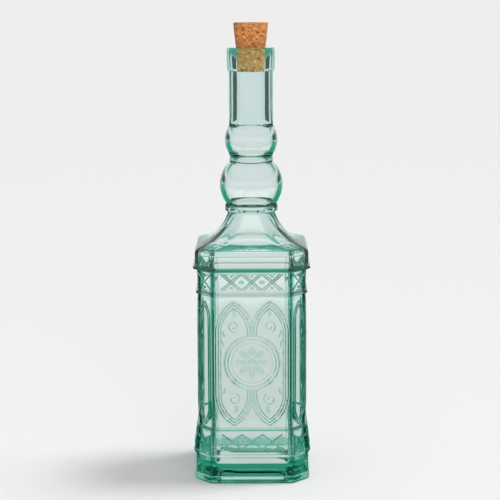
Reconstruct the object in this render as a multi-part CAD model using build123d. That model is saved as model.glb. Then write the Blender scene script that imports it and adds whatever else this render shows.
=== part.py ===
"""A square, embossed glass bottle with cut corners, a turned neck with two bulbs, and a tapered cork."""

from build123d import *
import math
import os

# Heights of the storeys of the glass, from the foot up, in millimetres
foot_height = 5.0
plinth_height = 12.6
ledge_height = 3.9
flare_height = 12.6
sill_height = 2.2
panel_height = 86.7
string_height = 3.6
frieze_height = 11.9
cornice_height = 3.8
collar_height = 7.7
eave_round = 3.6
shoulder_height = 19.5
ring_height = 6.1
ring_band = 2.6
waist_height = 4.9
neck_height = 35.1
lip_height = 14.8
lip_bevel = 1.9

# Plan of the body: half the width across the flats, and how much of each side a cut corner takes
body_half = 34.8
corner_cut = 9.07
edge_round = 1.6

# How far each storey stands out from the flat body
foot_proud = 2.5
plinth_proud = 1.8
ledge_proud = 3.15
flare_proud = 2.7
flare_top_proud = 0.5
sill_proud = 0.8
string_proud = 1.0
cornice_proud = 2.9
collar_proud = 1.55
foot_round = 1.8

# How far the shoulder turns over the eave before its hollow curve begins
eave_turn_degrees = 62

# Radii of the turned neck
throat_radius = 15.3
ring_radius = 17.15
ring_seat_radius = 16.4
large_bulb_radius = 20.35
waist_radius = 14.1
small_bulb_radius = 16.95
neck_radius = 14.23
lip_edge_radius = 14.8
lip_radius = 15.5

# The hollow inside
wall = 3.6
corner_wall = 4.2
floor_thickness = 9.0
floor_bevel = 5.0
ring_bore_radius = 9.3
large_bulb_bore_radius = 17.1
waist_bore_radius = 8.9
small_bulb_bore_radius = 13.4
neck_bore_radius = 8.8
mouth_radius = 9.4
rest_rim = 9.0
push_up_depth = 2.6
push_up_taper_degrees = 55

# The cork: squeezed by the mouth below the rim, and tapered above it
cork_length = 30.0
cork_depth = 14.2
cork_top_radius = 11.35
seat_clearance = 0.05

# The sides and cut corners with relief, in degrees round from the front: the back is left smooth
relief_side_degrees = (-90, 0, 90)
relief_corner_degrees = (-45, 45)

# The relief's height, and the widths of its straps
relief_height = 0.7
strap_width = 2.2
corner_strap_width = 1.1

# The two tall lancets of a side's panel, pointed at both ends, and the lancet of a cut corner
lancet_half = 12.3
lancet_rise = 21.0
lancet_top_gap = 2.6
lancet_foot_gap = 1.4
corner_lancet_half = 4.7
corner_lancet_rise = 13.0

# The round band of the medallion that lies over the lancets
medallion_height = 43.6
medallion_radius = 18.4
medallion_band = 2.8

# How far solids run into each other where they are joined or cut, and the throat into the shoulder
overrun = 0.4
throat_tuck = 3.0

# The most that a plan's corner is rounded, as a share of what its two sides leave
corner_fillet_share = 0.97

# The middle of the shoulder's hollow arc: how much of its run and of its rise is still to come there
hollow_run_share = 0.30
hollow_rise_share = 0.54

# How much of a bulb's height its widest band takes inside, and how far inside the bore the hollow ends
bulb_band_share = 0.45
octagon_in_circle_share = 0.9


def ball_height(ball_radius, cut_radius):
    """From the belly of a ball to where it is cut down to the smaller radius."""
    return math.sqrt(ball_radius**2 - cut_radius**2)


# The two bulbs are balls: how far each reaches below and above its belly
large_bulb_low = ball_height(large_bulb_radius, ring_seat_radius)
large_bulb_high = ball_height(large_bulb_radius, waist_radius)
small_bulb_low = ball_height(small_bulb_radius, waist_radius)
small_bulb_high = ball_height(small_bulb_radius, neck_radius)

# Levels of the storeys, worked out from their heights
plinth_level = foot_height
ledge_level = plinth_level + plinth_height
flare_level = ledge_level + ledge_height
sill_level = flare_level + flare_height
panel_level = sill_level + sill_height
string_level = panel_level + panel_height
frieze_level = string_level + string_height
cornice_level = frieze_level + frieze_height
collar_level = cornice_level + cornice_height
eave_level = collar_level + collar_height
throat_level = eave_level + eave_round + shoulder_height
large_bulb_level = throat_level + ring_height
large_belly_level = large_bulb_level + large_bulb_low
waist_level = large_belly_level + large_bulb_high
small_bulb_level = waist_level + waist_height
small_belly_level = small_bulb_level + small_bulb_low
neck_level = small_belly_level + small_bulb_high
lip_level = neck_level + neck_height
mouth_level = lip_level + lip_height

# The cork's levels, from its tip in the bore to its top
cork_tip_level = mouth_level - cork_depth
cork_top_level = cork_tip_level + cork_length

root_two = math.sqrt(2)
half_corner_slope = math.tan(math.pi / 8)

# From the axis to a cut corner, square to it
body_corner = (2 * body_half - corner_cut) / root_two


def octagon(half, corner, rounding, level):
    """A square with cut corners and rounded edges, as a face at that level."""
    side = corner * root_two - half
    corner_side = (half - side) * root_two
    rounding = min(rounding, corner_fillet_share * min(side, corner_side / 2) / half_corner_slope)
    quarter = [(half, -side), (half, side)]
    points = []
    for turn in range(4):
        points += quarter
        quarter = [(-y, x) for x, y in quarter]
    outline = Polygon(*points, align=None)
    if rounding > 0:
        outline = fillet(outline.vertices(), rounding)
    return Pos(0, 0, level) * outline


def storey(proud, level, height):
    """An upright storey of the body, standing out by that much all round, with rounded edges."""
    plan = octagon(body_half + proud, body_corner + proud, edge_round + proud, level)
    return extrude(plan, height)


def tapered(plan, height, draw_in):
    """A plan pushed up, drawing in by that much all round."""
    return extrude(plan, height, taper=math.degrees(math.atan2(draw_in, height)))


def straight_run(*points):
    """Straight lines from point to point of a turned profile."""
    return [Line(start, end) for start, end in zip(points, points[1:])]


def crossed(lines_at, half, corner):
    """A half profile pushed through square to the sides and to the cut corners, so that it is mitred."""
    solids = []
    for distance, turns in ((half, (0, 90)), (corner, (45, 135))):
        lines = lines_at(distance)
        low, high = lines[0] @ 0, lines[-1] @ 1
        closing = straight_run((high.X, high.Y), (0, high.Y), (0, low.Y), (low.X, low.Y))
        half_profile = make_face([*lines, *closing])
        profile = Plane.XZ * (half_profile + mirror(half_profile, Plane.YZ))
        bar = extrude(profile, body_half * 2, both=True)
        solids += [Rot(0, 0, turn) * bar for turn in turns]
    return solids[0] & solids[1] & solids[2] & solids[3]


def moulding(low_proud, proud, high_proud, level, height):
    """A rounded moulding round the body, from one storey's face to the next one's."""
    def lines_at(face):
        low, high = (face + low_proud, level), (face + high_proud, level + height)
        return [ThreePointArc(low, (face + proud, level + height / 2), high)]

    return crossed(lines_at, body_half, body_corner)


def foot():
    """The body's lowest band, rounded under it and over it."""
    top_round = foot_proud - plinth_proud

    def lines_at(face):
        under = CenterArc((face + foot_proud - foot_round, foot_round), foot_round, -90, 90)
        over = CenterArc((face + plinth_proud, foot_height - top_round), top_round, 0, 90)
        return [under, Line(under @ 1, over @ 0), over]

    return crossed(lines_at, body_half, body_corner)


def flare():
    """The band above the ledge, whose faces lean in to the sill."""
    def lines_at(face):
        return [Line((face + flare_proud, flare_level), (face + flare_top_proud, sill_level))]

    return crossed(lines_at, body_half, body_corner)


def roof(half, corner, eave, throat):
    """The collar and the shoulder: up, round over the eave, and along a hollow arc to the throat."""
    def lines_at(face):
        eave_arc = CenterArc((face - eave_round, eave), eave_round, 0, eave_turn_degrees)
        end = eave_arc @ 1
        middle_reach = throat + (end.X - throat) * hollow_run_share
        middle_level = throat_level - (throat_level - end.Y) * hollow_rise_share
        hollow_arc = ThreePointArc(end, (middle_reach, middle_level), (throat, throat_level))
        return [Line((face, collar_level), eave_arc @ 0), eave_arc, hollow_arc]

    return crossed(lines_at, half, corner)


def turned(lines):
    """A solid of revolution about the bottle's axis, from the lines of its outer profile."""
    low, high = lines[0] @ 0, lines[-1] @ 1
    closing = straight_run((high.X, high.Y), (0, high.Y), (0, low.Y), (low.X, low.Y))
    return revolve(Plane.XZ * make_face([*lines, *closing]), Axis.Z)


def neck():
    """The throat's ring, the two bulbs with the waist between them, and the plain neck."""
    ring_bevel = (ring_height - ring_band) / 2
    ring = straight_run(
        (throat_radius, throat_level - throat_tuck),
        (throat_radius, throat_level),
        (ring_radius, throat_level + ring_bevel),
        (ring_radius, large_bulb_level - ring_bevel),
        (ring_seat_radius, large_bulb_level),
    )
    large_belly = (large_bulb_radius, large_belly_level)
    large_bulb = ThreePointArc(ring[-1] @ 1, large_belly, (waist_radius, waist_level))
    waist = straight_run((waist_radius, waist_level), (waist_radius, small_bulb_level))
    small_belly = (small_bulb_radius, small_belly_level)
    small_bulb = ThreePointArc(waist[-1] @ 1, small_belly, (neck_radius, neck_level))
    pipe = straight_run((neck_radius, neck_level), (neck_radius, lip_level + overrun))
    return turned([*ring, large_bulb, *waist, small_bulb, *pipe])


def lip():
    """The mouth's thick band, with its two rims bevelled."""
    lines = straight_run(
        (lip_edge_radius, lip_level),
        (lip_radius, lip_level + lip_bevel),
        (lip_radius, mouth_level - lip_bevel),
        (lip_edge_radius, mouth_level),
    )
    return turned(lines)


def bulb_hollow(low, belly_radius, belly, high):
    """The ends of a bulb's widest band inside, where the cones above and below it meet it."""
    band_low = belly - (belly - low) * bulb_band_share
    band_high = belly + (high - belly) * bulb_band_share
    return [(belly_radius, band_low), (belly_radius, band_high)]


def neck_hollow():
    """What is cut out of the neck: a hollow in each bulb, a straight bore, and a tapered mouth."""
    lines = straight_run(
        (ring_bore_radius, throat_level - throat_tuck),
        (ring_bore_radius, large_bulb_level),
        *bulb_hollow(large_bulb_level, large_bulb_bore_radius, large_belly_level, waist_level),
        (waist_bore_radius, waist_level),
        (waist_bore_radius, small_bulb_level),
        *bulb_hollow(small_bulb_level, small_bulb_bore_radius, small_belly_level, neck_level),
        (neck_bore_radius, neck_level),
        (neck_bore_radius, cork_tip_level),
        (mouth_radius, mouth_level),
        (mouth_radius, mouth_level + overrun),
    )
    return turned(lines)


def hollow_plan(proud, level):
    """The hollow's plan inside a wall that stands out by that much."""
    return octagon(body_half + proud - wall, body_corner + proud - corner_wall, 0, level)


def body_hollow():
    """What is cut out of the body, from its floor to the throat."""
    base = extrude(hollow_plan(plinth_proud, floor_thickness), ledge_level - floor_thickness)
    base = chamfer(base.edges().group_by(Axis.Z)[0], floor_bevel)
    flare = tapered(hollow_plan(plinth_proud, ledge_level), panel_level - ledge_level, plinth_proud)
    panel = extrude(hollow_plan(0, panel_level), cornice_level - panel_level)
    cornice = tapered(hollow_plan(0, cornice_level), cornice_height, -collar_proud)
    half, corner = body_half + collar_proud - wall, body_corner + collar_proud - corner_wall
    attic = roof(half, corner, eave_level - wall / 2, ring_bore_radius * octagon_in_circle_share)
    return base + flare + panel + cornice + attic


def push_up():
    """The shallow recess under the base, which leaves a level rim to stand on."""
    plan = octagon(body_half - rest_rim, body_corner - rest_rim, 0, 0)
    return extrude(plan, push_up_depth, taper=push_up_taper_degrees)


def relief_prism(pattern, distance, level):
    """A pattern drawn on a side, with its y upwards, pushed out through the wall's face."""
    plane = Plane(origin=(0, -distance + overrun, level), x_dir=(1, 0, 0), z_dir=(0, -1, 0))
    return extrude(plane * pattern, overrun + body_half)


def lancet(half, rise, height, width):
    """A tall band of straps, pointed at both ends, about the middle of its foot."""
    def outline(inset):
        wide = half - inset
        radius = (rise**2 + half**2) / (2 * half) - inset
        tip = math.sqrt(radius**2 - (radius - wide) ** 2)
        low, high = rise, height - rise
        turn = math.asin(tip / radius) / 2
        bulge = radius * math.cos(turn) - (radius - wide)
        lift = radius * math.sin(turn)
        right_top = ThreePointArc((wide, high), (bulge, high + lift), (0, high + tip))
        left_top = ThreePointArc((0, high + tip), (-bulge, high + lift), (-wide, high))
        left_foot = ThreePointArc((-wide, low), (-bulge, low - lift), (0, low - tip))
        right_foot = ThreePointArc((0, low - tip), (bulge, low - lift), (wide, low))
        left, right = Line((-wide, high), (-wide, low)), Line((wide, low), (wide, high))
        return make_face([right_top, left_top, left, left_foot, right_foot, right])

    return outline(0) - outline(width)


def corner_lancet(height):
    """The narrow lancet of a cut corner, with straight pointed ends, about the middle of its foot."""
    low, high = corner_lancet_rise, height - corner_lancet_rise
    right = [(corner_lancet_half, low), (corner_lancet_half, high)]
    left = [(-corner_lancet_half, high), (-corner_lancet_half, low)]
    outline = Polygon((0, 0), *right, (0, height), *left, align=None)
    return outline - offset(outline, -corner_strap_width, kind=Kind.INTERSECTION)


def relief():
    """The raised straps: two lancets and a medallion's band on a side, a narrow lancet on a cut corner."""
    height = panel_height - lancet_top_gap - lancet_foot_gap
    reach_of_relief = storey(relief_height, panel_level, panel_height)
    band = Pos(0, lancet_foot_gap) * lancet(lancet_half, lancet_rise, height, strap_width)
    reach = lancet_half - strap_width / 2
    field = Pos(0, medallion_height) * Circle(medallion_radius)
    ring = field - Pos(0, medallion_height) * Circle(medallion_radius - medallion_band)
    straps = Pos(-reach, 0) * band + Pos(reach, 0) * band - field + ring
    side = relief_prism(straps, body_half, panel_level)
    corner = relief_prism(Pos(0, lancet_foot_gap) * corner_lancet(height), body_corner, panel_level)
    raised = [Rot(0, 0, turn) * side for turn in relief_side_degrees]
    raised += [Rot(0, 0, turn) * corner for turn in relief_corner_degrees]
    return [piece & reach_of_relief for piece in raised]


def glass_bottle():
    solid = foot()
    solid += storey(plinth_proud, plinth_level, plinth_height)
    solid += moulding(plinth_proud, ledge_proud, flare_proud, ledge_level, ledge_height)
    solid += flare()
    solid += moulding(flare_top_proud, sill_proud, 0, sill_level, sill_height)
    solid += storey(0, panel_level, panel_height)
    solid += moulding(0, string_proud, 0, string_level, string_height)
    solid += storey(0, frieze_level, frieze_height)
    solid += moulding(0, cornice_proud, collar_proud, cornice_level, cornice_height)
    solid += roof(body_half + collar_proud, body_corner + collar_proud, eave_level, throat_radius)
    solid += neck()
    solid += lip()
    for raised in relief():
        solid += raised
    return solid - (body_hollow() + neck_hollow()) - push_up()


def cork_stopper():
    """A cork that fits the tapered mouth and widens above it."""
    tip = neck_bore_radius - seat_clearance
    rim = mouth_radius - seat_clearance
    top = (cork_top_radius, cork_top_level)
    return turned(straight_run((tip, cork_tip_level), (rim, mouth_level), top))


os.makedirs("parts", exist_ok=True)
export_step(glass_bottle(), "parts/glass_bottle.step")
export_step(cork_stopper(), "parts/cork_stopper.step")
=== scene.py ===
"""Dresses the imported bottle: pressed glass with raised ornament, a cork of pressed granules, a studio."""

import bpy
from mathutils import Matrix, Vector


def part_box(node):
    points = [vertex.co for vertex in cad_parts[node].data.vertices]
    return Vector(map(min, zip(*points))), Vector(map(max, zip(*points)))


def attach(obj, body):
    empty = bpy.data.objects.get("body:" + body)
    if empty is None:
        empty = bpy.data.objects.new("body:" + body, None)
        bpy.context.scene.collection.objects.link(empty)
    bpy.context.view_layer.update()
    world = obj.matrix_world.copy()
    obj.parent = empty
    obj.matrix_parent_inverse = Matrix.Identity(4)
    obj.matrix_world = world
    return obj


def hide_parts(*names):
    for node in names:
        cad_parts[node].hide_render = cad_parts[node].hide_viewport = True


bl_info = {
    "name": "Corked Square Bottle",
    "version": (1, 0, 0),
    "blender": (4, 5, 0),
    "location": "View3D > Sidebar > Bottle",
    "description": "Models a square pressed-glass bottle, its cork and the studio round them",
    "category": "Object",
}

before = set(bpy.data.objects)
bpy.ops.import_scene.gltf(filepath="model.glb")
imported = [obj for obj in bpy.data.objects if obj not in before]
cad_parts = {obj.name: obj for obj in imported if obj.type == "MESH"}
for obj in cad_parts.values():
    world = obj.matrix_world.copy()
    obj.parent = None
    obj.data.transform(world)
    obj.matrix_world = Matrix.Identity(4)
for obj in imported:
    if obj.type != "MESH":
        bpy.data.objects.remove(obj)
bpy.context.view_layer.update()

import math

import bmesh
import bpy
from bpy.props import FloatProperty, FloatVectorProperty, PointerProperty
from bpy.types import Operator, Panel, PropertyGroup
from mathutils import Matrix, Vector

MM = 0.001
ROOT_TWO = math.sqrt(2)
CUT_SLOPE = math.tan(math.pi / 8)
GLASS_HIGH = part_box("glass_bottle")[1]
CORK_LOW, CORK_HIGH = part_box("cork_stopper")

# Levels of the storeys, in millimetres above the floor
PLINTH, LEDGE, FLARE, SILL, PANEL = 5.0, 17.6, 21.5, 34.1, 36.3
STRING, FRIEZE, CORNICE, COLLAR, EAVE, THROAT = 123.0, 126.6, 138.5, 142.3, 150.0, 173.1
LARGE_BULB, LARGE_BELLY, WAIST = 179.2, 191.25, 205.92
SMALL_BULB, SMALL_BELLY, NECK = 210.82, 220.23, 229.44
LIP, MOUTH = 264.54, GLASS_HIGH.z / MM
CORK_TIP, CORK_TOP = CORK_LOW.z / MM, CORK_HIGH.z / MM

# Where the sill has run out into the panel, the medallion's middle, and the top of the worn back's slope
SILL_END, MEDALLION, WORN_TOP = PANEL + 0.8, PANEL + 43.6, PANEL + 12

# How far the storeys stand out from the flat body, and how far the panel and the frieze are sunk in it
FOOT_PROUD, PLINTH_PROUD, FLARE_PROUD, FLARE_TOP_PROUD, COLLAR_PROUD = 2.5, 1.8, 2.7, 0.5, 1.55
SUNK = 0.5
FOOT_ROUND = 1.8

# The turn over the eave: its radius, and how many degrees it turns
EAVE_ROUND, EAVE_TURN = 3.6, 62

# Radii of the turned neck, outside and inside
THROAT_RADIUS, RING_RADIUS, LARGE_RADIUS, WAIST_RADIUS = 15.3, 17.15, 20.35, 14.1
SMALL_RADIUS, NECK_RADIUS, BORE_RADIUS, WAIST_BORE_RADIUS = 16.95, 14.23, 8.8, 8.9
THROAT_BORE_RADIUS = 10.6

# The rounding where the hollow's walls run into its floor
FLOOR_ROUND = 12

# Gaps between the lancets' tips and the mouldings under and over them, and the width of a crossing
FOOT_GAP, TOP_GAP = 1.4, 2.6
FRIEZE_STEP, LATTICE_STEP = 13.1, 13.0

# How a ring of the skin is divided on one quarter of its way round: side, edge, cut corner, edge
SIDE_STEPS, EDGE_STEPS, CUT_STEPS = 18, 4, 6
QUARTER = SIDE_STEPS + 2 * EDGE_STEPS + CUT_STEPS
COLUMNS = 4 * QUARTER


def linear(hex_colour):
    """An sRGB hex colour as the linear values that a shader takes."""
    parts = [int(hex_colour[i:i + 2], 16) / 255 for i in (1, 3, 5)]
    return [c / 12.92 if c <= 0.04045 else ((c + 0.055) / 1.055) ** 2.4 for c in parts]


class BottleSizes(PropertyGroup):
    """The glass and its hollow, in metres."""
    body_half: FloatProperty(name="Half body", description="From the axis to a side", default=0.0348,
                             unit="LENGTH")
    corner_cut: FloatProperty(name="Corner cut", description="What a cut corner takes of a side",
                              default=0.00907, unit="LENGTH")
    edge_round: FloatProperty(name="Edge rounding", description="Radius of the upright edges", default=0.0016,
                              unit="LENGTH")
    wall: FloatProperty(name="Wall", description="Thickness of a side", default=0.0036, unit="LENGTH")
    corner_wall: FloatProperty(name="Corner wall", description="Thickness of a cut corner", default=0.0042,
                               unit="LENGTH")
    inner_round: FloatProperty(name="Inner rounding", description="Radius of the hollow's upright edges",
                               default=0.0025, unit="LENGTH")
    floor: FloatProperty(name="Floor", description="Level of the hollow's floor", default=0.0064,
                         unit="LENGTH")
    ridge: FloatProperty(name="Ridge height", description="How far the ornament's ridges stand out",
                         default=0.00095, unit="LENGTH")


class GlassLook(PropertyGroup):
    """How the glass looks."""
    tint: FloatVectorProperty(name="Tint", description="What a few centimetres of the glass let through",
                              subtype="COLOR", size=3, default=linear("#00CEBC"))
    # Painted shade: the next two colours are painted on the upright edges, the bars and the rings
    gathered: FloatVectorProperty(name="Gathered", description="Colour of the upright edges and the bars",
                                  subtype="COLOR", size=3, default=linear("#65CDBD"))
    painted_ring_shade: FloatVectorProperty(name="Deepest", description="Colour of the rings", subtype="COLOR", size=3,
                                 default=linear("#076F59"))
    density: FloatProperty(name="Density", description="How strongly the tint builds up, per metre",
                           default=24.0)
    ripple: FloatProperty(name="Ripple", description="Depth of the waves that pressing leaves",
                          default=0.00012, unit="LENGTH")


class CorkLook(PropertyGroup):
    """How the cork looks."""
    light: FloatVectorProperty(name="Light grain", description="Palest granules", subtype="COLOR", size=3,
                               default=linear("#FFBA7A"))
    middle: FloatVectorProperty(name="Middle grain", description="Most of the granules", subtype="COLOR",
                                size=3, default=linear("#FA9C54"))
    dark: FloatVectorProperty(name="Dark grain", description="Bark between the granules", subtype="COLOR",
                              size=3, default=linear("#8A4A26"))
    granule: FloatProperty(name="Granule", description="Width of a granule", default=0.0013, unit="LENGTH")


class StudioLook(PropertyGroup):
    """The floor, the backdrop and the light."""
    floor: FloatVectorProperty(name="Floor", description="Colour of the floor", subtype="COLOR", size=3,
                               default=linear("#ECECEC"))
    backdrop: FloatVectorProperty(name="Backdrop", description="Colour of the background", subtype="COLOR",
                                  size=3, default=linear("#EEEEEE"))
    # Painted light: the colours from here to the gleam are what the glass shows or mirrors of the floor and
    # the sky: painted shade close by, a painted bright band, and painted green reflections
    near: FloatVectorProperty(name="Near", description="The floor close by, as the glass shows it",
                              subtype="COLOR", size=3, default=linear("#E2E2DF"))
    middle: FloatVectorProperty(name="Middle", description="The floor half a metre behind the bottle",
                                subtype="COLOR", size=3, default=linear("#EBEBE7"))
    bright: FloatVectorProperty(name="Bright", description="The floor that the shoulder shows, and the sky",
                                subtype="COLOR", size=3, default=linear("#FCFCFB"))
    far: FloatVectorProperty(name="Far", description="All that is further away, as the glass shows it",
                             subtype="COLOR", size=3, default=linear("#E2E6E7"))
    mirror: FloatVectorProperty(name="Mirrored", description="The floor close by, as the glass mirrors it",
                                subtype="COLOR", size=3, default=linear("#4AAE92"))
    gleam: FloatVectorProperty(name="Gleam", description="The backdrop, as the glass mirrors it",
                               subtype="COLOR", size=3, default=linear("#ECFCF3"))
    black: FloatVectorProperty(name="Black", description="Cards that darken the neck's edges",
                               subtype="COLOR", size=3, default=linear("#3A4740"))
    ambient: FloatProperty(name="Ambient", description="Light from all round", default=0.47)
    fill: FloatProperty(name="Fill", description="Power of the soft light in front", default=8.0,
                        unit="POWER")
    key: FloatProperty(name="Key", description="Strength of the soft light on the right", default=1.94)


# ---- Profiles: lists of points, across and up, in millimetres ----

def arc_through(start, middle, end, steps):
    """Points on the arc from one point through another to a third."""
    (ax, ay), (bx, by), (cx, cy) = start, middle, end
    twice = 2 * (ax * (by - cy) + bx * (cy - ay) + cx * (ay - by))
    ux = ((ax**2 + ay**2) * (by - cy) + (bx**2 + by**2) * (cy - ay) + (cx**2 + cy**2) * (ay - by)) / twice
    uy = ((ax**2 + ay**2) * (cx - bx) + (bx**2 + by**2) * (ax - cx) + (cx**2 + cy**2) * (bx - ax)) / twice
    radius = math.hypot(ax - ux, ay - uy)
    first = math.atan2(ay - uy, ax - ux)
    sweep = (math.atan2(cy - uy, cx - ux) - first) % (2 * math.pi)
    if (math.atan2(by - uy, bx - ux) - first) % (2 * math.pi) > sweep:
        sweep -= 2 * math.pi
    angles = [first + sweep * i / steps for i in range(steps + 1)]
    return [(ux + radius * math.cos(a), uy + radius * math.sin(a)) for a in angles]


def round_about(x, y, radius, start, end, steps):
    """Points on an arc about a centre, between two angles in degrees."""
    angles = [math.radians(start + (end - start) * i / steps) for i in range(steps + 1)]
    return [(x + radius * math.cos(a), y + radius * math.sin(a)) for a in angles]


def swell(start, end, height, steps):
    """Points from one to another that swell out between them and run smoothly into both."""
    points = []
    for i in range(steps + 1):
        share = i / steps
        across = start[0] + (end[0] - start[0]) * share**2 * (3 - 2 * share)
        up = start[1] + (end[1] - start[1]) * share
        points.append((across + height * math.sin(math.pi * share) ** 2, up))
    return points


def ball(radius, belly, low_radius, high_radius, steps):
    """The side of a ball about the axis, cut down to a smaller radius below and above."""
    low = -math.degrees(math.acos(low_radius / radius))
    high = math.degrees(math.acos(high_radius / radius))
    return round_about(0, belly, radius, low, high, steps)


def soften(points, times):
    """The same line with its corners cut, as a tool or a melt rounds them."""
    for _ in range(times):
        cut = [points[0]]
        for (ax, ay), (bx, by) in zip(points, points[1:]):
            cut += [(ax * 0.75 + bx * 0.25, ay * 0.75 + by * 0.25)]
            cut += [(ax * 0.25 + bx * 0.75, ay * 0.25 + by * 0.75)]
        points = cut + [points[-1]]
    return points


def spaced(points, gap):
    """The same line with no stretch between two points longer than the gap."""
    line = [points[0]]
    for (ax, ay), (bx, by) in zip(points, points[1:]):
        count = max(1, math.ceil(math.hypot(bx - ax, by - ay) / gap))
        line += [(ax + (bx - ax) * i / count, ay + (by - ay) * i / count) for i in range(1, count + 1)]
    return line


# ---- The skin of the glass: rings from the base, over the mouth, and down to the hollow's floor ----

def ring_points(half, corner, rounding, roundness, level):
    """One ring: a square with cut corners and rounded edges, drawn towards a circle by its roundness."""
    side = corner * ROOT_TWO - half
    cut_side = (half - side) * ROOT_TWO
    # The rounding stops a little short of the middle of a side or a cut
    reach = min(rounding * CUT_SLOPE, 0.97 * min(side, cut_side / 2))
    radius = reach / CUT_SLOPE
    centre = Vector((half - radius, side - reach))
    edge = [centre + radius * Vector((math.cos(a), math.sin(a)))
            for a in (math.pi / 4 * i / EDGE_STEPS for i in range(EDGE_STEPS + 1))]
    edge_two = [Vector((p.y, p.x)) for p in reversed(edge)]
    first = Vector((half, -side + reach))
    quarter = [first.lerp(edge[0], i / SIDE_STEPS) for i in range(SIDE_STEPS)]
    quarter += edge[:-1]
    quarter += [edge[-1].lerp(edge_two[0], i / CUT_STEPS) for i in range(CUT_STEPS)]
    quarter += edge_two[:-1]
    points = []
    for turn in range(4):
        for i, p in enumerate(quarter):
            square = Matrix.Rotation(turn * math.pi / 2, 2) @ p
            angle = 2 * math.pi * (turn * QUARTER + i - SIDE_STEPS / 2) / COLUMNS
            circle = half * Vector((math.cos(angle), math.sin(angle)))
            flat = square.lerp(circle, roundness)
            points.append(Vector((flat.x, flat.y, level)) * MM)
    return points


def storeys():
    """How far the outside stands out from the body, level by level, from the foot to the collar's foot."""
    step = FOOT_PROUD - PLINTH_PROUD
    line = [(-7.0, 0)] + round_about(FOOT_PROUD - FOOT_ROUND, FOOT_ROUND, FOOT_ROUND, -90, 0, 6)
    line += round_about(PLINTH_PROUD, PLINTH - step, step, 0, 90, 4)
    line += swell((PLINTH_PROUD, LEDGE), (FLARE_PROUD, FLARE), 0.85, 10)
    line += swell((FLARE_TOP_PROUD, SILL), (-SUNK, SILL_END), 1.1, 10)
    line += swell((-SUNK, STRING), (-SUNK, FRIEZE), 1.6, 10)
    line += swell((-SUNK, CORNICE), (COLLAR_PROUD, COLLAR), 2.35, 12)
    return line


def shoulder_rings(half, corner, rounding, eave, throat, steps):
    """Rings round over the eave and along a hollow arc to the round throat."""
    lines = []
    for face in (half, corner):
        over = round_about(face - EAVE_ROUND, eave, EAVE_ROUND, 0, EAVE_TURN, 6)
        run, rise = over[-1][0] - throat, THROAT - over[-1][1]
        middle = (throat + run * 0.3, THROAT - rise * 0.54)
        hollow = arc_through(over[-1], middle, (throat, THROAT), 60)
        levels = [over[-1][1] + rise * (i / steps) ** 0.8 for i in range(1, steps + 1)]
        reach = []
        for level in levels:
            (ax, ay), (bx, by) = next((p, q) for p, q in zip(hollow, hollow[1:]) if q[1] >= level - 1e-9)
            reach.append((ax + (bx - ax) * (level - ay) / (by - ay), level))
        lines.append(over + reach)
    turned = over[-1][1]
    rings = []
    for (side, level), (cut, _) in zip(*lines):
        along = max(0.0, (level - turned) / (THROAT - turned))
        rings.append((side, cut, rounding + 5 * along, along**0.6, level))
    return rings


def neck_line():
    """The outside of the turned neck, from the throat to the lip's top."""
    line = [(THROAT_RADIUS, THROAT), (15.9, THROAT + 0.5), (17.0, THROAT + 1.4), (RING_RADIUS, THROAT + 3.0),
            (17.0, THROAT + 4.6), (16.5, LARGE_BULB - 0.3)]
    line += ball(LARGE_RADIUS, LARGE_BELLY, 16.4, WAIST_RADIUS, 22)
    line += [(WAIST_RADIUS - 0.05, WAIST + 0.6), (WAIST_RADIUS, SMALL_BULB - 0.6)]
    line += ball(SMALL_RADIUS, SMALL_BELLY, WAIST_RADIUS, NECK_RADIUS, 16)
    line += [(NECK_RADIUS, NECK + 1.5), (NECK_RADIUS - 0.03, (NECK + LIP) / 2), (NECK_RADIUS, LIP - 0.8)]
    line += [(14.3, LIP - 0.1), (14.75, LIP), (15.05, LIP + 0.5)]
    line += arc_through((15.2, LIP + 1.0), (15.5, LIP + 8.0), (15.3, MOUTH - 1.4), 10)
    line += round_about(14.2, MOUTH - 1.0, 1.0, 10, 90, 5)
    return line


def hollow_line():
    """The inside of the neck, from the mouth down to the throat."""
    line = [(10.6, MOUTH), (9.9, MOUTH - 0.15), (9.5, MOUTH - 0.7), (9.38, MOUTH - 1.5)]
    line += [(BORE_RADIUS, CORK_TIP), (BORE_RADIUS, LIP - 6)]
    line += reversed(ball(14.0, SMALL_BELLY, WAIST_BORE_RADIUS, BORE_RADIUS, 14))
    line += reversed(ball(17.6, LARGE_BELLY, 10.2, WAIST_BORE_RADIUS, 20))
    line += [(THROAT_BORE_RADIUS, THROAT + 0.6)]
    return line


def body_reach(sizes):
    """From the axis to a side, and square to a cut corner, in millimetres."""
    half = sizes.body_half / MM
    return half, (2 * half - sizes.corner_cut / MM) / ROOT_TWO


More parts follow.
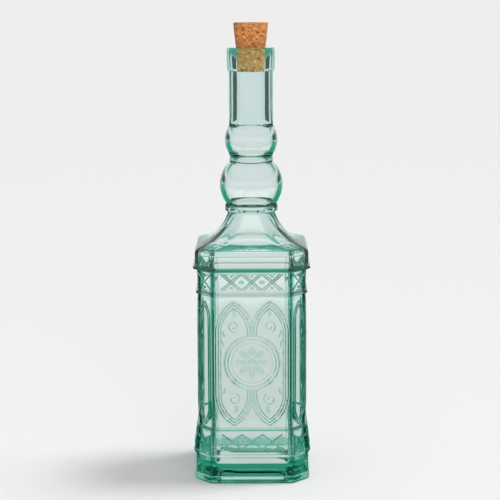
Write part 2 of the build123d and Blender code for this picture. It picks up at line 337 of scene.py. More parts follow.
def glass_rings(sizes):
    """Every ring of the skin, in order: the push-up under the base, the outside, the hollow."""
    half, corner = body_reach(sizes)
    edge = sizes.edge_round / MM
    wall, corner_wall, inner = sizes.wall / MM, sizes.corner_wall / MM, sizes.inner_round / MM
    rings = [(half - 12.7, corner - 12.7, 6.0, 0, 2.6), (half - 9.6, corner - 9.6, 6.0, 0, 0.5)]
    for proud, level in spaced(storeys(), 12):
        rings.append((half + proud, corner + proud, edge + max(proud, 0), 0, level))
    side, cut = half + COLLAR_PROUD, corner + COLLAR_PROUD
    rings += shoulder_rings(side, cut, edge + COLLAR_PROUD, EAVE, THROAT_RADIUS, 16)
    rings += [(r, r, 0, 1, z) for r, z in spaced(neck_line(), 6)]
    rings += [(r, r, 0, 1, z) for r, z in spaced(soften(hollow_line(), 2), 6)]
    rings += reversed(shoulder_rings(side - wall, cut - corner_wall, inner, EAVE - wall / 2,
                                     THROAT_BORE_RADIUS + 0.2, 14))
    floor = sizes.floor / MM
    inside = [(COLLAR_PROUD, COLLAR), (0, CORNICE), (0, PANEL)]
    inside += [(PLINTH_PROUD - FLOOR_ROUND + x, y)
               for x, y in round_about(0, floor + FLOOR_ROUND, FLOOR_ROUND, 0, -90, 9)]
    inside += [(-14, floor + 0.1)]
    for proud, level in spaced(soften(inside, 2), 12):
        rings.append((half + proud - wall, corner + proud - corner_wall, inner, 0, level))
    return rings


def deselect():
    """Leaves edit mode and selects nothing."""
    if bpy.context.object and bpy.context.object.mode != "OBJECT":
        bpy.ops.object.mode_set(mode="OBJECT")
    bpy.ops.object.select_all(action="DESELECT")


def place_selected(mesh_edit, points):
    """Moves the selected ring to these points, matched by their angle about the axis."""
    chosen = sorted((v for v in mesh_edit.verts if v.select), key=lambda v: math.atan2(v.co.y, v.co.x))
    for vertex, point in zip(chosen, sorted(points, key=lambda p: math.atan2(p.y, p.x))):
        vertex.co = point


def skin(name, rings):
    """A closed skin: a circle that is extruded from ring to ring and filled at both ends."""
    deselect()
    bpy.ops.mesh.primitive_circle_add(vertices=COLUMNS, radius=0.01, enter_editmode=True)
    piece = bpy.context.object
    piece.name = name
    bpy.ops.mesh.select_all(action="SELECT")
    place_selected(bmesh.from_edit_mesh(piece.data), ring_points(*rings[0]))
    bpy.ops.mesh.edge_face_add()
    for ring in rings[1:]:
        bpy.ops.mesh.extrude_region_move()
        place_selected(bmesh.from_edit_mesh(piece.data), ring_points(*ring))
    bpy.ops.mesh.select_all(action="SELECT")
    bpy.ops.mesh.remove_doubles(threshold=1e-6)
    bpy.ops.mesh.normals_make_consistent(inside=False)
    bpy.ops.object.mode_set(mode="OBJECT")
    return piece


def wear_back(piece, sizes):
    """Runs the flare and the sill at the back into one slope, so that only the front's line shows."""
    back = sizes.body_half - 1.5 * MM
    for vertex in piece.data.vertices:
        level = vertex.co.z / MM
        if vertex.co.y > back and FLARE < level < WORN_TOP:
            share = (level - FLARE) / (WORN_TOP - FLARE)
            vertex.co.y = sizes.body_half + (FLARE_PROUD - (FLARE_PROUD + SUNK) * share) * MM


# ---- The raised ornament ----

def ridge(points, width, height, closed=False):
    """A ridge along a line drawn on a side: a round bar, flattened to its height."""
    curve = bpy.data.curves.new("ridge", "CURVE")
    curve.dimensions = "3D"
    curve.bevel_depth = width / 2 * MM
    curve.bevel_resolution = 2
    curve.use_fill_caps = not closed
    line = curve.splines.new("POLY")
    line.points.add(len(points) - 1)
    for point, (x, z) in zip(line.points, points):
        point.co = (x * MM, 0, z * MM, 1)
    line.use_cyclic_u = closed
    piece = bpy.data.objects.new("ridge", curve)
    bpy.context.collection.objects.link(piece)
    deselect()
    piece.select_set(True)
    bpy.context.view_layer.objects.active = piece
    bpy.ops.object.convert(target="MESH")
    bpy.ops.object.mode_set(mode="EDIT")
    bpy.ops.mesh.select_all(action="SELECT")
    bpy.ops.mesh.remove_doubles(threshold=1e-6)
    bpy.ops.transform.resize(value=(1, height / (width / 2), 1), center_override=(0, 0, 0))
    bpy.ops.mesh.normals_make_consistent(inside=False)
    bpy.ops.object.mode_set(mode="OBJECT")
    return piece


def boss(x, z, half_width, half_length, height, turn=0.0):
    """A raised bead or leaf: a ball that is flattened on the side."""
    deselect()
    bpy.ops.mesh.primitive_uv_sphere_add(segments=16, ring_count=10, radius=MM, location=(0, 0, 0))
    piece = bpy.context.object
    shape = Matrix.Translation((x * MM, 0, z * MM)) @ Matrix.Rotation(math.radians(turn), 4, "Y")
    piece.data.transform(shape @ Matrix.Diagonal((half_width, height, half_length, 1)))
    return piece


def combine(target, other, operation="UNION"):
    """Fuses another closed piece into the target, or cuts it out, and removes it."""
    deselect()
    target.select_set(True)
    bpy.context.view_layer.objects.active = target
    step = target.modifiers.new("combine", "BOOLEAN")
    step.object, step.operation, step.solver = other, operation, "MANIFOLD"
    bpy.ops.object.modifier_apply(modifier=step.name)
    bpy.data.objects.remove(other)


def fuse(pieces):
    """Fuses closed pieces into the first of them."""
    whole = pieces[0]
    for piece in pieces[1:]:
        combine(whole, piece)
    return whole


def lancet_line(centre, half, rise, low, high, inset):
    """The outline of a tall band that is pointed at both ends, moved in by the inset."""
    radius = (rise**2 + half**2) / (2 * half) - inset
    wide = half - inset
    tip = math.sqrt(radius**2 - (radius - wide) ** 2)
    sweep = math.degrees(math.asin(tip / radius))
    top, foot = high - rise, low + rise
    right = round_about(wide - radius, top, radius, 0, sweep, 9)
    left = [(-x, z) for x, z in reversed(right)][1:]
    under_left = round_about(-(wide - radius), foot, radius, 180, 180 + sweep, 9)
    under_right = [(-x, z) for x, z in reversed(under_left)][1:]
    return [(centre + x, z) for x, z in right + left + under_left + under_right]


def circle_line(x, z, radius, steps=48):
    """The points of a circle, without its first one twice."""
    return round_about(x, z, radius, 0, 360 * (steps - 1) / steps, steps - 1)


def scroll_line(x, z, size, turn, hand, steps=26):
    """A scroll that winds in as it turns."""
    line = []
    for i in range(steps + 1):
        share = i / steps
        angle = math.radians(turn + hand * 430 * share)
        radius = size * (1 - 0.72 * share)
        line.append((x + radius * math.cos(angle), z + radius * math.sin(angle)))
    return line


def panel_ornament(sizes):
    """Two lancets, the medallion with its rosette, and the scrolls round it, on one side."""
    height = sizes.ridge / MM
    lancets = []
    for hand in (-1, 1):
        for inset, width in ((0.5, 1.3), (2.3, 1.2), (4.0, 0.8)):
            line = lancet_line(hand * 11.5, 12.6, 21.0, PANEL + FOOT_GAP, STRING - TOP_GAP, inset)
            lancets.append(ridge(line, width, height, closed=True))
    bands = fuse(lancets)
    # The medallion lies over the lancets, so its field is cut out of them first
    deselect()
    bpy.ops.mesh.primitive_cylinder_add(vertices=64, radius=18.2 * MM, depth=20 * MM,
                                        rotation=(math.pi / 2, 0, 0), location=(0, 0, MEDALLION * MM))
    combine(bands, bpy.context.object, "DIFFERENCE")
    pieces = [bands]
    for radius, width, share in ((17.8, 1.4, 1.1), (15.6, 1.1, 0.9), (13.2, 0.7, 0.5)):
        pieces.append(ridge(circle_line(0, MEDALLION, radius), width, height * share, closed=True))
    for petal in range(8):
        angle = 45 * petal
        x, z = 6.9 * math.sin(math.radians(angle)), 6.9 * math.cos(math.radians(angle))
        pieces.append(boss(x, MEDALLION + z, 2.1, 4.2, height, angle))
    pieces.append(boss(0, MEDALLION, 2.6, 2.6, height * 1.3))
    low = height * 0.8
    for hand in (-1, 1):
        for rise, size, turn in ((24, 4.0, -60), (-24, 4.2, 120)):
            pieces.append(ridge(scroll_line(hand * 11.5, MEDALLION + rise, size, turn, hand), 0.9, low))
        for x, rise, half_width, half_length, lean in ((18.6, 19, 1.0, 2.8, 24), (19.3, 13, 1.0, 2.8, 18),
                                                       (18.4, -19, 1.0, 2.8, -24), (11.5, 32, 1.2, 3.2, 0),
                                                       (10.5, -31, 1.2, 3.0, -12)):
            pieces.append(boss(hand * x, MEDALLION + rise, half_width, half_length, low, hand * lean))
    return fuse(pieces)


def frieze_ornament(sizes, cells, straps):
    """Crossed straps with a bead between them, within the frieze."""
    height = sizes.ridge / MM
    low, high = FRIEZE + 0.8, CORNICE - 0.5
    pieces = []
    for cell in range(cells):
        x = FRIEZE_STEP * (cell - (cells - 1) / 2)
        for hand in (-1, 1):
            for shift in straps:
                line = [(x - hand * 5.9 + shift, low), (x + hand * 5.9 + shift, high)]
                pieces.append(ridge(line, 0.8, height * 0.9))
        pieces.append(boss(x, low + 1.6, 1.1, 0.8, height))
        pieces.append(boss(x, high - 1.6, 1.1, 0.8, height))
    for gap in range(cells - 1):
        pieces.append(boss(FRIEZE_STEP * (gap - (cells - 2) / 2), (low + high) / 2, 1.9, 1.2, height))
    return fuse(pieces)


def flare_ornament(sizes, cells):
    """Thin crossed bars on the leaning flare, drawn as if it stood upright from its foot."""
    height = sizes.ridge / MM
    low, high = 1.9, 11.3
    pieces = []
    for cell in range(cells):
        x = LATTICE_STEP * (cell - (cells - 1) / 2)
        for hand in (-1, 1):
            line = [(x - hand * LATTICE_STEP / 2, low), (x + hand * LATTICE_STEP / 2, high)]
            pieces.append(ridge(line, 1.0, height * 0.78))
    return fuse(pieces)


def corner_ornament(sizes):
    """A narrow lancet of two ridges on a cut corner."""
    height = sizes.ridge / MM
    lines = [lancet_line(0, 4.9, 13.0, PANEL + FOOT_GAP, STRING - TOP_GAP, inset) for inset in (0.4, 1.9)]
    return fuse([ridge(line, 0.8, height * 0.8, closed=True) for line in lines])


def on_side(piece, distance, level=0.0, lean=0.0):
    """Lays an ornament that is drawn upright in the XZ plane on the front of the bottle."""
    piece.data.transform(Matrix.Translation((0, -distance * MM, level * MM)) @ Matrix.Rotation(-lean, 4, "X"))
    return piece


def face_ornament(panel, frieze, flare, reach):
    """All that is raised on one face, from the flare to the frieze, laid on it as if it faced the front."""
    lean = math.atan2(FLARE_PROUD - FLARE_TOP_PROUD, SILL - FLARE)
    return fuse([on_side(panel, reach - SUNK), on_side(frieze, reach - SUNK),
                 on_side(flare, reach + FLARE_PROUD, FLARE, lean)])


def raise_on(glass, ornament, turns):
    """Fuses a copy of the ornament to the glass at each turn about the axis."""
    for turn in turns:
        copy = ornament.copy()
        copy.data = ornament.data.copy()
        bpy.context.collection.objects.link(copy)
        copy.data.transform(Matrix.Rotation(math.radians(turn), 4, "Z"))
        combine(glass, copy)
    bpy.data.objects.remove(ornament)


# ---- Painted shade: the deeper green painted on rings, upright edges and bars ----

def swelling(level, low, high):
    """How full a ring is at a level: nothing at its ends, one at its middle."""
    return math.sin(math.pi * (level - low) / (high - low)) ** 2 if low < level < high else 0.0


def ring_painted_shades(level, aside, smooth):
    """How much painted shade the rings take at a level. The eave's painted line fades towards the middle of a
    side.
    """
    painted_shades = [min(1.0, 3 * swelling(level, CORNICE, COLLAR)), 0.3 * swelling(level, STRING, FRIEZE),
               min(1.0, max(0.1, 3.2 * aside - 0.7) * swelling(level, EAVE + 1.6, EAVE + 7.8)),
               0.6 * swelling(level, -3, 3)]
    if not smooth:
        painted_shades.append(0.55 * swelling(level, SILL, SILL_END))
    return painted_shades


def paint_edge_shade(piece, sizes):
    """Marks how much painted shade each point of the skin takes: deeper green on rings, upright edges and
    raised bars.
    """
    half, corner = body_reach(sizes)
    profile = storeys()
    marks = piece.data.attributes.new("gathered", "FLOAT", "POINT")
    for vertex, mark in zip(piece.data.vertices, marks.data):
        x, y, level = vertex.co / MM
        near, far = sorted((abs(x), abs(y)))
        out = max(far - half, (near + far) / ROOT_TWO - corner)
        # The hollow's own skin lies further in, and the neck takes no painted shade
        if out < -1.2 - max(0.0, level - EAVE) * 0.9 or level > EAVE + 8:
            continue
        smooth = y >= half - 3
        painted_shades = ring_painted_shades(level, min(1.0, abs(x) / 28), smooth)
        if level < COLLAR:
            plain = next(a[0] + (b[0] - a[0]) * (level - a[1]) / (b[1] - a[1])
                         for a, b in zip(profile, profile[1:]) if b[1] > level >= a[1])
            bar = 0.0 if smooth else max(0.0, min(1.0, (out - plain - 0.1) / 0.4))
            painted_shades.append(bar * (0.7 if level < SILL else 0.2 if level < STRING else 0.35))
            edge = math.hypot(far - half - plain, near - (corner * ROOT_TWO - half) - plain * (ROOT_TWO - 1))
            # The front's upright edges take the painted shade more strongly than the others
            strength = 0.8 if -y > abs(x) else 0.35
            painted_shades.append(strength * max(0.0, 1 - edge / 2.6))
        mark.value = max(painted_shades)


# ---- Materials ----

WHITE, BLACK = (1, 1, 1), (0, 0, 0)

# Painted shade: tints for what is left of the light thrown back inside the glass never, once, twice or three
# times
# One set of stops turns deep green at the first time, the other stays nearly clear until the third
DEEP = [(0.0, WHITE), (0.25, linear("#30A68D")), (0.5, linear("#30A28E")), (0.75, linear("#309581"))]
MILD = [(0.0, WHITE), (0.25, linear("#F6FDFA")), (0.5, linear("#EAF8F5")), (0.75, linear("#BCE1DA"))]


def add_node(tree, kind, settings=None, stops=(), **inputs):
    """Adds a node: its own settings, a ramp's stops, and a value or a link for each socket that is named."""
    node = tree.nodes.new(kind)
    for name, value in (settings or {}).items():
        setattr(node, name, value)
    for _ in stops[2:]:
        node.color_ramp.elements.new(1)
    for i, (place, colour) in enumerate(stops):
        node.color_ramp.elements[i].position = place
        node.color_ramp.elements[i].color = (*colour, 1)
    for name, value in inputs.items():
        socket = node.inputs[int(name[1:])] if name[1:].isdigit() else node.inputs[name.replace("_", " ")]
        if isinstance(value, bpy.types.NodeSocket):
            tree.links.new(value, socket)
        else:
            socket.default_value = value
    return node


def deepened(tree, colour, share, low, high):
    """A colour as glass shows it, in painted shade greener the more often it was thrown back, by a mix of two
    ramps.
    """
    path = add_node(tree, "ShaderNodeLightPath")
    depth = add_node(tree, "ShaderNodeMath", {"operation": "MULTIPLY"}, _0=path.outputs["Glossy Depth"],
                     _1=0.25)
    ends = [add_node(tree, "ShaderNodeValToRGB", stops=stops, Fac=depth.outputs[0]) for stops in (low, high)]
    tint = add_node(tree, "ShaderNodeMixRGB", Fac=share, Color1=ends[0].outputs[0], Color2=ends[1].outputs[0])
    seen = add_node(tree, "ShaderNodeMixRGB", {"blend_type": "MULTIPLY"}, Fac=1.0, Color1=colour,
                    Color2=tint.outputs[0])
    return seen.outputs[0]


def new_material(name):
    """An empty material and its node tree."""
    material = bpy.data.materials.new(name)
    material.use_nodes = True
    material.node_tree.nodes.clear()
    return material, material.node_tree


def pressed_glass(look):
    """Soda-lime bottle glass pressed in a mould: clear in thin walls, deep green-blue along edges and in the
    base, partly painted shade on rings, edges and bars, with the slow waves that a mould leaves on both of
    its faces."""
    material, tree = new_material("soda_lime_glass")
    place = add_node(tree, "ShaderNodeTexCoord").outputs["Object"]
    # Waves about 14 mm apart, drawn out upwards as the glass was
    stretch = add_node(tree, "ShaderNodeMapping", Vector=place, Scale=(1, 1, 0.45))
    waves = add_node(tree, "ShaderNodeTexNoise", Vector=stretch.outputs[0], Scale=1 / (14 * MM), Detail=3,
                     Roughness=0.5)
    bump = add_node(tree, "ShaderNodeBump", Strength=1.0, Distance=look.ripple, Height=waves.outputs["Fac"])
    # Painted shade: rings, upright edges and bars are painted a deeper green than the rest of the glass
    mark = add_node(tree, "ShaderNodeAttribute", {"attribute_name": "gathered"})
    body = add_node(tree, "ShaderNodeValToRGB", Fac=mark.outputs["Fac"],
                    stops=[(0.0, WHITE), (0.5, look.gathered), (1.0, look.painted_ring_shade)])
    shader = add_node(tree, "ShaderNodeBsdfPrincipled", Base_Color=body.outputs[0], Roughness=0.0, IOR=1.5,
                      Transmission_Weight=1.0, Normal=bump.outputs[0])
    depth = add_node(tree, "ShaderNodeVolumeAbsorption", Color=(*look.tint, 1), Density=look.density)
    # Lets part of the light through to the floor, and nearly all of it to the cork
    up = add_node(tree, "ShaderNodeSeparateXYZ", _0=place)
    height = add_node(tree, "ShaderNodeMath", {"operation": "DIVIDE"}, _0=up.outputs["Z"], _1=MOUTH * MM)
    passed = add_node(tree, "ShaderNodeValToRGB", Fac=height.outputs[0],
                      stops=[(0.6, linear("#E5E0E1")), (0.9, linear("#FDFDFA"))])
    clear = add_node(tree, "ShaderNodeBsdfTransparent", Color=passed.outputs[0])
    path = add_node(tree, "ShaderNodeLightPath")
    surface = add_node(tree, "ShaderNodeMixShader", _0=path.outputs["Is Shadow Ray"], _1=shader.outputs[0],
                       _2=clear.outputs[0])
    add_node(tree, "ShaderNodeOutputMaterial", Surface=surface.outputs[0], Volume=depth.outputs[0])
    return material


def pressed_cork(look):
    """Agglomerated cork, ground and pressed: warm granules of mixed tan, with darker bark and pits."""
    material, tree = new_material("agglomerated_cork")
    place = add_node(tree, "ShaderNodeTexCoord").outputs["Object"]
    scale = 1 / look.granule
    # Bends the granules' outlines, so that no two are alike
    wander = add_node(tree, "ShaderNodeTexNoise", Vector=place, Scale=scale * 0.8, Detail=3)
    bent = add_node(tree, "ShaderNodeMixRGB", {"blend_type": "LINEAR_LIGHT"}, Fac=0.0009, Color1=place,
                    Color2=wander.outputs["Color"])
    cells = add_node(tree, "ShaderNodeTexVoronoi", Vector=bent.outputs[0], Scale=scale, Randomness=1.0)
    tone = add_node(tree, "ShaderNodeSeparateColor", Color=cells.outputs["Color"])
    grain = add_node(tree, "ShaderNodeValToRGB", Fac=tone.outputs[0],
                     stops=[(0.0, look.dark), (0.16, look.middle), (0.55, look.middle), (0.9, look.light)])
    # Dark pits and pale grain about 0.4 mm across. A factor above one brightens the granule under it
    fine = add_node(tree, "ShaderNodeTexNoise", Vector=place, Scale=scale * 3.2, Detail=4, Roughness=0.7)
    fleck = add_node(tree, "ShaderNodeValToRGB", Fac=fine.outputs["Fac"],
                     stops=[(0.43, linear("#4B3830")), (0.48, WHITE), (0.54, WHITE), (0.66, (1.6, 1.5, 1.3))])
    mixed = add_node(tree, "ShaderNodeMixRGB", {"blend_type": "MULTIPLY"}, Fac=0.95, Color1=grain.outputs[0],
                     Color2=fleck.outputs[0])
    edge = add_node(tree, "ShaderNodeTexVoronoi", {"feature": "DISTANCE_TO_EDGE"}, Vector=bent.outputs[0],
                    Scale=scale, Randomness=1.0)
    seam = add_node(tree, "ShaderNodeValToRGB", Fac=edge.outputs[0],
                    stops=[(0.0, linear("#95867C")), (0.13, WHITE)])
    base = add_node(tree, "ShaderNodeMixRGB", {"blend_type": "MULTIPLY"}, Fac=0.75, Color1=mixed.outputs[0],
                    Color2=seam.outputs[0])
    # Painted light: where the mouth holds it, the cork is painted paler and yellower than the rest
    up = add_node(tree, "ShaderNodeSeparateXYZ", _0=place)
    level = add_node(tree, "ShaderNodeMapRange", Value=up.outputs["Z"], From_Min=(MOUTH - 1.5) * MM,
                     From_Max=MOUTH * MM)
    painted_light_in_mouth = add_node(tree, "ShaderNodeValToRGB", stops=[(0.0, (1.45, 1.6, 1.25)), (1.0, WHITE)],
                    Fac=level.outputs[0])
    shown = add_node(tree, "ShaderNodeMixRGB", {"blend_type": "MULTIPLY", "use_clamp": True}, Fac=1.0,
                     Color1=base.outputs[0], Color2=painted_light_in_mouth.outputs[0])
    bump = add_node(tree, "ShaderNodeBump", Strength=0.8, Distance=0.4 * MM, Height=fine.outputs["Fac"])
    shader = add_node(tree, "ShaderNodeBsdfPrincipled", Base_Color=shown.outputs[0], Roughness=0.85,
                      Normal=bump.outputs[0])
    add_node(tree, "ShaderNodeOutputMaterial", Surface=shader.outputs[0])
    return material


def painted_board(look):
    """Matt painted board: an even pale ground that takes a soft shadow. The glass shows it as a glow without
    the shadow, painted warmer close by than far away, and as a painted green reflection of what is close by."""
    material, tree = new_material("painted_board")
    place = add_node(tree, "ShaderNodeTexCoord").outputs["Object"]
    # The paint's tooth, nine bumps to a centimetre
    tooth = add_node(tree, "ShaderNodeTexNoise", Vector=place, Scale=0.9 / MM, Detail=2)
    bump = add_node(tree, "ShaderNodeBump", Strength=0.05, Distance=0.1 * MM, Height=tooth.outputs["Fac"])
    board = add_node(tree, "ShaderNodeBsdfDiffuse", Color=(*look.floor, 1), Normal=bump.outputs[0])
    away = add_node(tree, "ShaderNodeVectorMath", {"operation": "LENGTH"}, _0=place)
    # The ramps run over two metres from the bottle
    reach = add_node(tree, "ShaderNodeMath", {"operation": "DIVIDE"}, _0=away.outputs["Value"], _1=2.0)
    # Painted shade and painted highlight: the floor as the glass shows it, darker close by, brightest from
    # 0.9 to 1.1 m
    through = add_node(tree, "ShaderNodeValToRGB", Fac=reach.outputs[0],
                       stops=[(0.125, look.near), (0.3, look.middle), (0.45, look.bright),
                              (0.55, look.bright), (0.63, look.far)])
    # Painted reflection: the glass mirrors the floor close by as green, paling to the far colour by 1.5 m
    painted_reflection_hue = add_node(tree, "ShaderNodeValToRGB", Fac=reach.outputs[0],
                        stops=[(0.3, look.mirror), (0.75, look.far)])
    # Painted shade: greener where the glass threw the light back, deep within 1.5 m and mild beyond 2.6 m
    share = add_node(tree, "ShaderNodeMapRange", Value=away.outputs["Value"], From_Min=1.5, From_Max=2.6)
    bent = deepened(tree, through.outputs[0], share.outputs[0], DEEP, MILD)
    path = add_node(tree, "ShaderNodeLightPath")
    # A refracted ray counts as glossy too, so the mirrored colour comes first
    surface = board
    for ray, colour in (("Is Glossy Ray", painted_reflection_hue.outputs[0]), ("Is Transmission Ray", bent)):
        seen = add_node(tree, "ShaderNodeEmission", Color=colour, Strength=1.0)
        surface = add_node(tree, "ShaderNodeMixShader", _0=path.outputs[ray], _1=surface.outputs[0],
                           _2=seen.outputs[0])
    add_node(tree, "ShaderNodeOutputMaterial", Surface=surface.outputs[0])
    return material


def unlit_card(name, colour, painted_reflection_hue):
    """Unlit card, met only by light that glass has thrown back: one colour through glass, a painted
    reflection off it.
    """
    material, tree = new_material(name)
    path = add_node(tree, "ShaderNodeLightPath")
    hue = add_node(tree, "ShaderNodeMixRGB", Fac=path.outputs["Is Transmission Ray"], Color1=(*painted_reflection_hue, 1),
                   Color2=(*colour, 1))
    card = add_node(tree, "ShaderNodeEmission", Color=hue.outputs[0], Strength=1.0)
    thrown = add_node(tree, "ShaderNodeMath", {"operation": "GREATER_THAN"}, _0=path.outputs["Glossy Depth"],
                      _1=0.5)
    clear = add_node(tree, "ShaderNodeBsdfTransparent")
    surface = add_node(tree, "ShaderNodeMixShader", _0=thrown.outputs[0], _1=clear.outputs[0],
                       _2=card.outputs[0])
    add_node(tree, "ShaderNodeOutputMaterial", Surface=surface.outputs[0])
    return material


def finish_piece(piece, material, body, node):
    """Gives a piece its material and smooth shading, says what it rides on, and hides the imported part it
    stands for.
    """
    deselect()
    piece.select_set(True)
    bpy.context.view_layer.objects.active = piece
    piece.data.materials.clear()
    piece.data.materials.append(material)
    bpy.ops.object.shade_smooth_by_angle(angle=math.radians(35))
    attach(piece, body)
    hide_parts(node)


# ---- Operators ----

class BOTTLE_OT_glass(Operator):
    """Model the pressed glass with its hollow and its raised ornament"""
    bl_idname = "bottle.glass"
    bl_label = "Glass"

    def execute(self, context):
        sizes = context.scene.bottle_sizes
        half, corner = body_reach(sizes)
        glass = skin("pressed_glass", glass_rings(sizes))
        wear_back(glass, sizes)
        side = face_ornament(panel_ornament(sizes), frieze_ornament(sizes, 3, (-0.95, 0.95)),
                             flare_ornament(sizes, 3), half)
        raise_on(glass, side, (-90, 0, 90))
        cut = face_ornament(corner_ornament(sizes), frieze_ornament(sizes, 1, (0,)), flare_ornament(sizes, 1),
                            corner)
        raise_on(glass, cut, (-45, 45))
        if not glass.data.polygons:
            raise RuntimeError("the glass was lost when its ornament was fused")
        paint_edge_shade(glass, sizes)
        finish_piece(glass, pressed_glass(context.scene.glass_look), "bottle", "glass_bottle")
        return {"FINISHED"}


class BOTTLE_OT_cork(Operator):
    """Model the tapered cork that is squeezed by the mouth"""
    bl_idname = "bottle.cork"
    bl_label = "Cork"

    def execute(self, context):
        line = [(8.3, CORK_TIP), (8.6, CORK_TIP + 0.15), (8.75, CORK_TIP + 0.5), (9.3, MOUTH - 0.9),
                (9.5, MOUTH + 0.6), (10.1, MOUTH + 4.5), (11.15, CORK_TOP - 1.0), (11.2, CORK_TOP - 0.5),
                (11.0, CORK_TOP - 0.1), (10.6, CORK_TOP)]
        cork = skin("tapered_cork", [(r, r, 0, 1, z) for r, z in spaced(line, 1.2)])
        finish_piece(cork, pressed_cork(context.scene.cork_look), "cork", "cork_stopper")
        return {"FINISHED"}


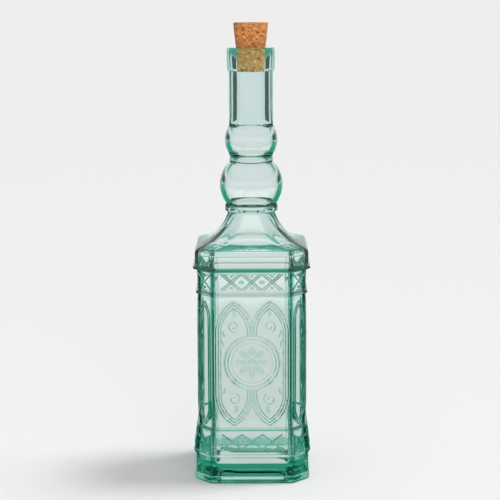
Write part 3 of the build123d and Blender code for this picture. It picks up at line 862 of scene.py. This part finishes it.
class BOTTLE_OT_studio(Operator):
    """Set the floor, the backdrop, the lights and the camera"""
    bl_idname = "bottle.studio"
    bl_label = "Studio"

    def execute(self, context):
        look = context.scene.studio_look
        # The floor runs on to the horizon, so that the glass shows no edge of it
        deselect()
        bpy.ops.mesh.primitive_plane_add(size=240, location=(0, 0, 0))
        floor = context.object
        floor.name = "floor"
        floor.data.materials.append(painted_board(look))
        for name, hand in (("dark_left", -1), ("dark_right", 1)):
            self.card(name, hand, unlit_card(name, look.black, look.mirror))
        self.world(look)
        # A wide sun on the right, and a disk 0.9 m across in front that looks at the bottle's middle
        sun = bpy.data.lights.new("soft_key", "SUN")
        sun.energy, sun.angle = look.key, math.radians(20)
        self.lamp(context, sun, Vector((0, 0, 0)), Vector((0.5, 0.1, 1.0)))
        fill = bpy.data.lights.new("front_fill", "AREA")
        fill.shape, fill.size, fill.energy = "DISK", 0.9, look.fill
        place = Vector((0.35, -1.55, 0.42))
        self.lamp(context, fill, place, place - Vector((0, 0, 0.2)))
        self.camera(context)
        context.scene.view_settings.view_transform = "Standard"
        return {"FINISHED"}

    def card(self, name, hand, material):
        """An upright card, 1.1 m from the bottle, which stands from nearly behind it to nearly beside it."""
        deselect()
        bpy.ops.mesh.primitive_plane_add(size=1, location=(0, 0, 0))
        card = bpy.context.object
        card.name = name
        corners = [(math.radians(angle), level) for level in (0.125, 0.31) for angle in (17, 66)]
        for vertex, (angle, level) in zip(card.data.vertices, corners):
            vertex.co = (hand * math.sin(angle) * 1.1, math.cos(angle) * 1.1, level)
        card.data.materials.append(material)
        card.visible_camera = card.visible_diffuse = card.visible_shadow = False

    def lamp(self, context, light, place, out):
        """A lamp that shines against the direction given, and that glass neither shows nor mirrors."""
        lamp = bpy.data.objects.new(light.name, light)
        lamp.location = place
        lamp.rotation_euler = out.to_track_quat("Z", "Y").to_euler()
        lamp.visible_glossy = lamp.visible_transmission = False
        context.collection.objects.link(lamp)

    def world(self, look):
        """Even light, and the pale backdrop where the camera looks, glass bends or a gloss reflects. What
        glass bends carries painted shade and a painted highlight, and a gloss reflects it faintly painted
        green.
        """
        world = bpy.data.worlds.new("studio")
        bpy.context.scene.world = world
        world.use_nodes = True
        tree = world.node_tree
        tree.nodes.clear()
        path = add_node(tree, "ShaderNodeLightPath")
        way = add_node(tree, "ShaderNodeTexCoord")
        up = add_node(tree, "ShaderNodeSeparateXYZ", _0=way.outputs["Generated"])
        # Painted shade: light thrown back in the glass is deep green if it came from 12 to 30 degrees above
        # the floor
        band = add_node(tree, "ShaderNodeValToRGB", Fac=up.outputs["Z"],
                        stops=[(0.2, BLACK), (0.27, WHITE), (0.4, WHITE), (0.52, (0.05, 0.05, 0.05))])
        # Painted highlight: the sky that glass shows is painted brighter higher up
        wall = add_node(tree, "ShaderNodeValToRGB", Fac=up.outputs["Z"],
                        stops=[(0.42, look.far), (0.6, look.bright)])
        bent = deepened(tree, wall.outputs[0], band.outputs[0], MILD, DEEP)
        light = add_node(tree, "ShaderNodeBackground", Color=(*WHITE, 1), Strength=look.ambient)
        for ray, colour in (("Is Camera Ray", (*look.backdrop, 1)), ("Is Glossy Ray", (*look.gleam, 1)),
                            ("Is Transmission Ray", bent)):
            seen = add_node(tree, "ShaderNodeBackground", Color=colour, Strength=1.0)
            light = add_node(tree, "ShaderNodeMixShader", _0=path.outputs[ray], _1=light.outputs[0],
                             _2=seen.outputs[0])
        add_node(tree, "ShaderNodeOutputWorld", Surface=light.outputs[0])

    def camera(self, context):
        """A little above the cork and a little under a metre away, looking down at the bottle's middle."""
        camera = bpy.data.objects.new("camera", bpy.data.cameras.new("camera"))
        context.collection.objects.link(camera)
        # A lens 1470 pixels long for a picture 500 pixels wide, 10 degrees down, hardly turned or rolled
        camera.data.sensor_width = 36
        camera.data.lens = 36 * 1470 / 500
        camera.data.clip_start, camera.data.clip_end = 0.01, 400
        camera.location = (0, -0.95, 0.3147)
        turn = Matrix.Rotation(math.radians(0.06), 3, "Z") @ Matrix.Rotation(math.radians(90 - 9.98), 3, "X")
        camera.rotation_euler = (turn @ Matrix.Rotation(math.radians(-0.24), 3, "Z")).to_euler()
        context.scene.camera = camera


class BOTTLE_PT_parts(Panel):
    """The bottle's pieces and its studio"""
    bl_label = "Bottle"
    bl_idname = "BOTTLE_PT_parts"
    bl_space_type = "VIEW_3D"
    bl_region_type = "UI"
    bl_category = "Bottle"

    def draw(self, context):
        layout = self.layout
        for group in (context.scene.bottle_sizes, context.scene.glass_look, context.scene.cork_look,
                      context.scene.studio_look):
            box = layout.box()
            for name in group.__annotations__:
                box.prop(group, name)
        for part in (BOTTLE_OT_glass, BOTTLE_OT_cork, BOTTLE_OT_studio):
            layout.operator(part.bl_idname)


CLASSES = (BottleSizes, GlassLook, CorkLook, StudioLook, BOTTLE_OT_glass, BOTTLE_OT_cork, BOTTLE_OT_studio,
           BOTTLE_PT_parts)
GROUPS = {"bottle_sizes": BottleSizes, "glass_look": GlassLook, "cork_look": CorkLook,
          "studio_look": StudioLook}


def register():
    for kind in CLASSES:
        bpy.utils.register_class(kind)
    for name, group in GROUPS.items():
        setattr(bpy.types.Scene, name, PointerProperty(type=group))


def unregister():
    for name in GROUPS:
        delattr(bpy.types.Scene, name)
    for kind in reversed(CLASSES):
        bpy.utils.unregister_class(kind)


def main():
    register()
    bpy.ops.bottle.glass()
    bpy.ops.bottle.cork()
    bpy.ops.bottle.studio()


if __name__ == "__main__":
    main()
